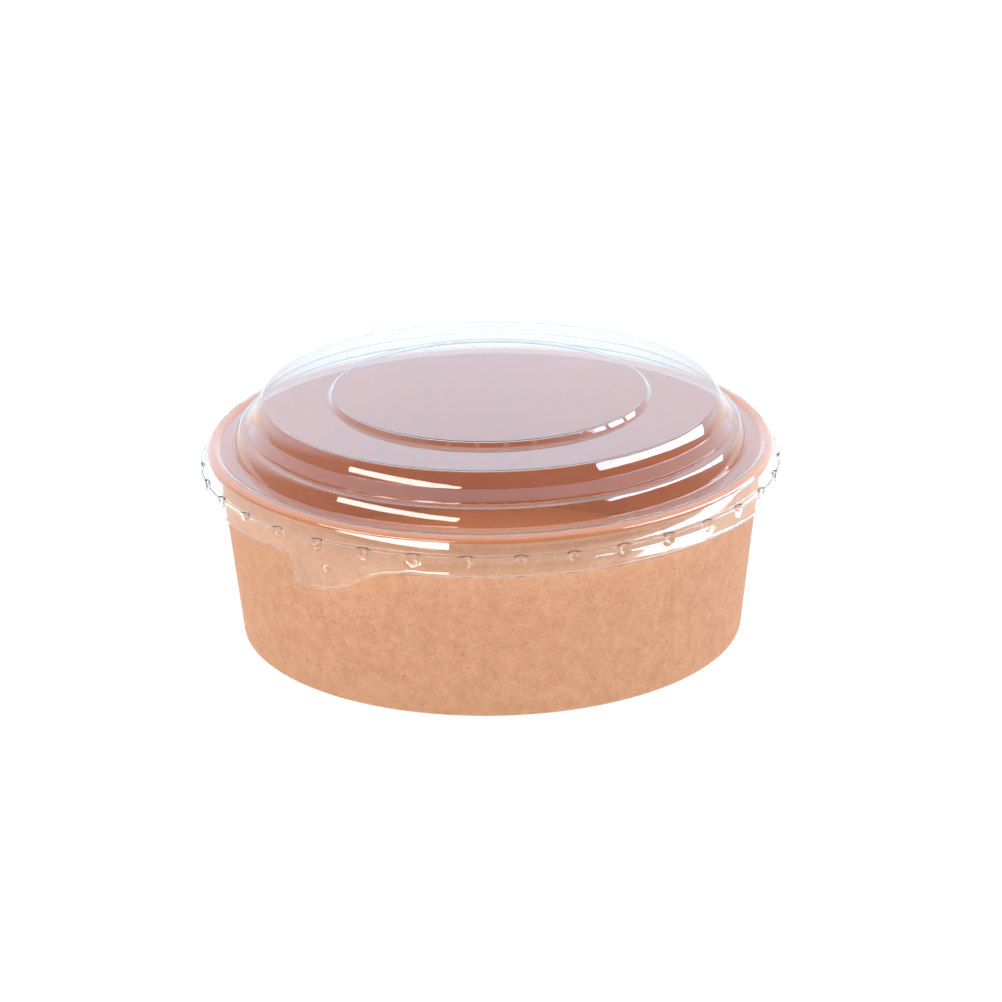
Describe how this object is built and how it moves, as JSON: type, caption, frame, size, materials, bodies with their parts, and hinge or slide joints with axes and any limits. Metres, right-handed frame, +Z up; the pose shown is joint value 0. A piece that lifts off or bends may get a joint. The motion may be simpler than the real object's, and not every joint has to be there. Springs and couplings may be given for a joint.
{
  "type": "lidded paper food bowl",
  "caption": "Round kraft board food bowl with a rolled rim and a recessed base, closed by a stepped clear press-on lid with a pull tab.",
  "frame": {"origin": "middle of the circle that the bowl stands on, on the table", "axes": "+Z up out of the bowl's mouth; the lid's pull tab points to -Y"},
  "size_m": [0.1554, 0.1563, 0.065],
  "materials": {
    "wall_board": "uncoated kraft outside, thin clear lining inside",
    "base_board": "kraft board with a thin clear lining",
    "clear_sheet": "clear, glossy, thermoformed"
  },
  "bodies": {
    "bowl": {"bowl_sidewall": "wall_board", "bowl_base": "base_board"},
    "lid": {"lid": "clear_sheet"}
  },
  "joints": [
    {"name": "lid_lift", "type": "slide", "parent": "bowl", "child": "lid", "axis": [0, 0, 1], "range_m": [0, 0.08]}
  ]
}
